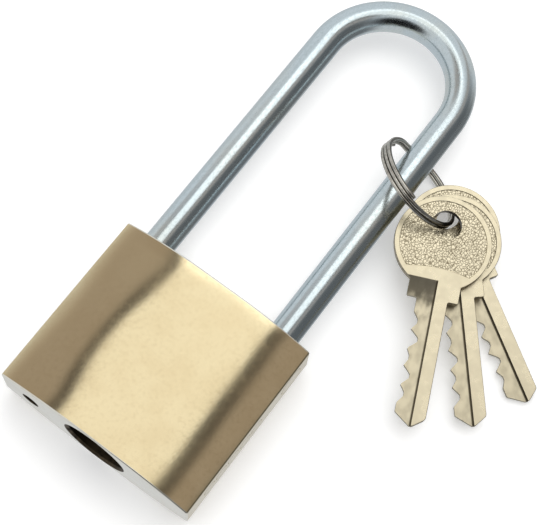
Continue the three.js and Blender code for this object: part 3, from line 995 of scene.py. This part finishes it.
def ring_shape(settings):
    """Flat wire wound just over two turns, with a step at each turn and two cut ends."""
    turn = Vector((0, 1, 0)).rotation_difference(RING_NORMAL).to_matrix()
    high = settings.wire_high / MM / 2
    wide = settings.wire_wide / MM / 2
    section = [
        (wide * math.copysign(abs(u) ** 0.75, u), high * math.copysign(abs(v) ** 0.9, v))
        for u, v in circle(1.0, WIRE_STEPS, math.pi / WIRE_STEPS)
    ]
    first = RING_STEP_TO
    last = RING_END - 720.0
    step = 4.0
    count = int((first - last) / step)
    rings = []
    for i in range(count + 1):
        place = first - (first - last) * i / count
        layer = -0.5
        for lap in (0, 1):
            start = RING_STEP_FROM - 360.0 * (lap + 1)
            end = RING_STEP_TO - 360.0 * (lap + 1)
            share = min(1.0, max(0.0, (start - place) / (start - end)))
            layer += share * share * (3 - 2 * share)
        shrink = 0.8 if i in (0, count) else 1.0
        angle = math.radians(place)
        out = Vector((math.cos(angle), 0, math.sin(angle)))
        ring = []
        for u, v in section:
            up = Vector((0, layer * RING_LAYER + v * shrink, 0))
            ring.append(RING_CENTRE + turn @ (out * (RING_MIDDLE + u * shrink) + up))
        rings.append(ring)
    return skin(rings)


class PADLOCK_OT_ring(bpy.types.Operator):
    """Wind the split ring round the toe leg"""

    bl_idname = "padlock.ring"
    bl_label = "Split ring"

    def execute(self, context):
        settings = context.scene.padlock.ring
        nickel = drawn_wire("dark_nickel", settings.dark, settings.dark_dull, 0.14)
        groove_shade = drawn_wire("wire_groove_shade", GROOVE_SHADE_PALE, GROOVE_SHADE_DARK, 0.3)
        made = new_piece("ring_wire", ring_shape(settings), nickel, groove_shade)
        # painted shade: the flanks where the turns lie on one another take a near-black wire, for
        # the shade in the grooves between them
        for face in made.data.polygons:
            if face.index % WIRE_STEPS in SHADED_WIRE_FLANKS:
                face.material_index = 1
        settle(made, "ring", "ring_steel", "split_ring", crease=40)
        return {"FINISHED"}


# ---------- keys ----------


def head_arc(radius, start, steps):
    """Points round the head, from an angle on its right over the top to its left."""
    angles = [start + (math.pi - 2 * start) * i / steps for i in range(steps + 1)]
    return [(radius * math.cos(a), HEAD_Y + radius * math.sin(a)) for a in angles]


def cut_depth(y, cuts):
    """How deep the bitting is at a place along the blade."""
    depth = 0.0
    for i, most in enumerate(cuts):
        away = abs(y - (FIRST_CUT_Y - PIN_SPACING * i))
        share = max(0.0, 1 - max(0.0, away - 0.45) / (1.35 + most * 0.2))
        depth = max(depth, most * share ** 0.9)
    return depth


def key_outline(cuts):
    """The key's outline, counter-clockwise from the right shoulder."""
    neck = math.sqrt(HEAD_RADIUS ** 2 - SHOULDER_HALF ** 2)
    start = math.atan2(-neck, SHOULDER_HALF)
    head = head_arc(HEAD_RADIUS, start, HEAD_STEPS)
    left = rounded_run([
        (-SHOULDER_HALF, HEAD_Y - neck - 0.5), (-SHOULDER_HALF, STOP_Y),
        (-BLADE_HALF, STOP_Y), (-BLADE_HALF, STOP_Y - 1.6),
    ], 0.45)
    bitting = []
    for i in range(BITTING_STEPS + 1):
        y = BITTING_TOP - (BITTING_TOP - BITTING_END) * i / BITTING_STEPS
        bitting.append((-BLADE_HALF + cut_depth(y, cuts), y))
    tip = rounded_run([
        (-BLADE_HALF, TIP_Y + 3.2), (-BLADE_HALF, TIP_Y + 2.6), (0.2, TIP_Y), (0.8, TIP_Y),
        (BLADE_HALF, TIP_Y + 2.0), (BLADE_HALF, TIP_Y + 3.2),
    ], 0.6)
    right = rounded_run([
        (BLADE_HALF, STOP_Y - 1.6), (BLADE_HALF, STOP_Y),
        (SHOULDER_HALF, STOP_Y), (SHOULDER_HALF, HEAD_Y - neck - 0.5),
    ], 0.45)
    return head + left + bitting + tip + right


def key_blank(cuts, radius):
    """The flat blank with rounded edges."""
    outline = key_outline(cuts)
    lower = [(-KEY_HALF + up, inwards) for up, inwards in round_over(radius, 3)]
    rings = []
    for z, distance in lower + [(-z, d) for z, d in reversed(lower)]:
        rings.append([(x, y, z) for x, y in inset(outline, distance)])
    return skin(rings)


def field_outline(rim):
    """The recessed field of the head: a round field with its lower end cut off by an arc."""
    radius = HEAD_RADIUS - rim
    reach = math.sqrt(radius ** 2 - FIELD_BASE ** 2)
    start = math.atan2(FIELD_BASE, reach)
    points = head_arc(radius, start, FIELD_STEPS)
    for i in range(1, 12):
        t = i / 12
        y = HEAD_Y + FIELD_BASE + 0.9 * math.sin(math.pi * t)
        points.append((-reach + 2 * reach * t, y))
    return points


def field_cutter(settings, side):
    """A shallow pocket with sloping walls, open to one face of the key."""
    outline = field_outline(settings.rim_wide / MM)
    deep = settings.field_deep / MM
    rings = []
    levels = ((KEY_HALF - deep, deep * 0.6), (KEY_HALF, 0.0), (KEY_HALF + 1, -0.01))
    for z, distance in levels:
        points = inset(outline, distance)
        rings.append([(side * x, y, side * z) for x, y in points])
    return skin(rings)


def milled_cutter():
    """The step along the bitted half of the blade, running out on the milling cutter's round."""
    run_out = math.sqrt(2 * MILLING_RADIUS * MILLED_DEPTH - MILLED_DEPTH ** 2)
    points = [(TIP_Y - 1, KEY_HALF + 1), (TIP_Y - 1, KEY_HALF - MILLED_DEPTH)]
    for i in range(15):
        along = run_out * i / 14
        rise = MILLING_RADIUS - math.sqrt(MILLING_RADIUS ** 2 - along ** 2)
        points.append((MILLED_TOP - run_out + along, KEY_HALF - MILLED_DEPTH + rise))
    points.append((MILLED_TOP, KEY_HALF + 1))
    return prism(points, "x", -SHOULDER_HALF - 1, MILLED_SIDE)


def key_place(key):
    """The turn and move that take a key from its own frame to where it lies."""
    slope = math.radians(KEYS[1]["turn"])
    axis = Vector((math.cos(slope), math.sin(slope), 0))
    tilt = Matrix.Rotation(math.radians(KEY_TILT), 4, axis)
    flat = Matrix.Rotation(math.radians(key["turn"]), 4, "Z")
    return Matrix.Translation(Vector(key["hole"]) * MM) @ tilt @ flat


class PADLOCK_OT_keys(bpy.types.Operator):
    """Cut the three flat keys that hang on the ring"""

    bl_idname = "padlock.keys"
    bl_label = "Keys"

    def execute(self, context):
        settings = context.scene.padlock.keys
        nickel = key_nickel("warm_nickel", settings, True)
        pebble = key_pebble("pebbled_nickel", settings)
        step = milled_nickel_and_shade("milled_nickel_and_shade", settings)
        edge = punched_nickel("punched_nickel")
        radius = settings.edge_round / MM
        hole = [
            (HOLE_RADIUS + 1.2, -KEY_HALF - 1), (HOLE_RADIUS, -KEY_HALF + 0.2),
            (HOLE_RADIUS, KEY_HALF - 0.2), (HOLE_RADIUS + 1.2, KEY_HALF + 1),
        ]
        for i, key in enumerate(KEYS, 1):
            shape = key_blank(key["cuts"], radius)
            made = new_piece(f"key_{i}_blank", shape, nickel, pebble, step, edge)
            for face in made.data.polygons:
                if abs(face.normal.z) < 0.9:
                    face.material_index = 3
            # the ring hole's wall takes the milled material, whose painted shade makes it dark all
            # round
            cut(made, [turned(hole, "z", (0, 0), 64)], 2)
            cut(made, [milled_cutter()], 2)
            cut(made, [field_cutter(settings, 1), field_cutter(settings, -1)], 1)
            carry(made, key_place(key))
            settle(made, f"key_{i}", "key_nickel", f"key_{i}", crease=30)
        return {"FINISHED"}


# ---------- stage ----------


def aim(made, eye, target, roll=0.0):
    """Place a light or the camera, and point it at a target."""
    back = (eye - target).normalized()
    right = Vector((0, 1, 0)).cross(back).normalized()
    up = back.cross(right)
    turn = Matrix((right, up, back)).transposed() @ Matrix.Rotation(math.radians(roll), 3, "Z")
    made.matrix_world = Matrix.Translation(eye * MM) @ turn.to_4x4()


class PADLOCK_OT_stage(bpy.types.Operator):
    """Set the camera, the pale floor and the soft studio light"""

    bl_idname = "padlock.stage"
    bl_label = "Stage"

    def execute(self, context):
        settings = context.scene.padlock.stage
        scene = context.scene
        scene.view_settings.view_transform = "Standard"
        lens = bpy.data.cameras.new("camera")
        lens.lens = settings.lens
        lens.sensor_width = SENSOR_WIDTH
        camera = bpy.data.objects.new("camera", lens)
        scene.collection.objects.link(camera)
        aim(camera, EYE, LOOK_AT, CAMERA_ROLL)
        scene.camera = camera

        graph = new_material("pale_floor")
        grain = graph.noise(60.0, 2.0)
        colour = graph.mix(grain * 0.2, settings.floor, FLOOR_PALE)
        surface = graph.node(
            "ShaderNodeBsdfPrincipled", None,
            {
                "Base Color": colour, "Roughness": 0.9, "Specular IOR Level": 0.1,
                "Emission Color": (1, 1, 1, 1), "Emission Strength": FLOOR_GLOW,
            },
        )
        graph.node("ShaderNodeOutputMaterial", None, {"Surface": surface})
        far = FLOOR_HALF
        corners = [(-far, -far, 0), (far, -far, 0), (far, far, 0), (-far, far, 0)]
        floor = new_piece("floor", (corners, [(0, 1, 2, 3)]), graph.owner)
        floor.visible_glossy = False

        self.panel("softbox", SOFTBOX_PLACE, SOFTBOX_SIZE, settings.softbox, SOFTBOX_COLOUR)
        wash = self.panel("floor_wash", WASH_PLACE, WASH_SIZE, WASH_LEVEL, (1, 1, 1))
        wash.visible_glossy = False
        self.room(settings.room)
        return {"FINISHED"}

    def panel(self, name, place, size, brightness, colour):
        """A rectangular light of an even brightness as seen in a mirror."""
        light = bpy.data.lights.new(name, "AREA")
        light.shape = "RECTANGLE"
        light.size, light.size_y = size
        light.color = colour
        light.energy = brightness * math.pi * size[0] * size[1]
        made = bpy.data.objects.new(name, light)
        bpy.context.scene.collection.objects.link(made)
        aim(made, place, LIGHT_TARGET)
        made.visible_camera = False
        return made

    def room(self, brightness):
        """A pale room whose reflection is dark beyond the lock's bow, right and bottom."""
        world = bpy.data.worlds.new("room")
        bpy.context.scene.world = world
        graph = Graph(world)
        where = graph.node("ShaderNodeTexCoord", output="Generated")

        def towards(direction, low, high):
            inputs = {0: where, 1: Vector(direction).normalized()}
            settings = {"operation": "DOT_PRODUCT"}
            facing = graph.node("ShaderNodeVectorMath", settings, inputs, "Value")
            return graph.between(facing, low, high)

        def band(rise, full, fall, end):
            return graph.between(across, rise, full) * (1 - graph.between(across, fall, end))

        right = towards((0.9, 0.25, 0.35), 0.45, 0.95)
        near = towards((0.42, -0.85, 0.3), 0.72, 0.93)
        maker = towards((0.28, -0.8, 0.5), 0.86, 0.9)
        level = (1 - right * 0.82) * (1 - near * 0.9) * (1 - maker * 0.98) * brightness
        x, y, z = (graph.coordinate(where, axis) for axis in "XYZ")
        up = graph.between(z, -0.02, 0.06)
        height = graph.node("ShaderNodeMath", {"operation": "MAXIMUM"}, {0: z, 1: 0.05})
        across = x / height
        over_body = 1 - graph.between(y, 0.28, 0.34)
        far_half = graph.between(y, -0.25, 0.0)
        walls = band(-1.9, -1.3, -0.5, -0.42) * over_body + band(0.3, 0.36, 0.75, 1.0)
        walls = walls * far_half * up
        ceiling = band(-0.64, -0.55, 0.42, 0.5) * over_body * far_half * up
        level = level + (WALL_LEVEL - level) * walls
        level = level + (CEILING_LEVEL - level) * ceiling
        dark_side = towards((0.92, 0.2, -0.3), 0.62, 0.9)
        ground = GROUND_LEVEL * (1 - dark_side * 0.72)
        below = 1 - graph.between(z, -0.06, 0.0)
        level = level + (ground - level) * below
        seen = graph.node("ShaderNodeLightPath", output="Is Camera Ray")
        level = seen + (1 - seen) * level
        tint = graph.mix(walls * (1 - seen), ROOM_COOL, ROOM_WARM)
        surface = graph.node("ShaderNodeBackground", None, {"Color": tint, "Strength": level})
        graph.node("ShaderNodeOutputWorld", None, {"Surface": surface})


# ---------- panel and registration ----------


BUILDERS = (
    PADLOCK_OT_stage,
    PADLOCK_OT_body,
    PADLOCK_OT_shackle,
    PADLOCK_OT_plug,
    PADLOCK_OT_springs,
    PADLOCK_OT_fittings,
    PADLOCK_OT_ring,
    PADLOCK_OT_keys,
)


class PADLOCK_PT_build(bpy.types.Panel):
    """The padlock's sizes, colours and builders"""

    bl_idname = "PADLOCK_PT_build"
    bl_label = "Padlock"
    bl_space_type = "VIEW_3D"
    bl_region_type = "UI"
    bl_category = "Padlock"

    def draw(self, context):
        settings = context.scene.padlock
        for group in ("stage", "body", "shackle", "ring", "keys"):
            box = self.layout.box()
            box.label(text=group.capitalize())
            values = getattr(settings, group)
            for name in values.__annotations__:
                box.prop(values, name)
        for builder in BUILDERS:
            self.layout.operator(builder.bl_idname)


CLASSES = (
    PadlockBodySettings,
    PadlockShackleSettings,
    PadlockRingSettings,
    PadlockKeySettings,
    PadlockStageSettings,
    PadlockSettings,
    *BUILDERS,
    PADLOCK_PT_build,
)


def register():
    for part in CLASSES:
        bpy.utils.register_class(part)
    bpy.types.Scene.padlock = PointerProperty(type=PadlockSettings)


def unregister():
    del bpy.types.Scene.padlock
    for part in reversed(CLASSES):
        bpy.utils.unregister_class(part)


def main():
    register()
    for builder in BUILDERS:
        group, call = builder.bl_idname.split(".")
        getattr(getattr(bpy.ops, group), call)()


if __name__ == "__main__":
    main()
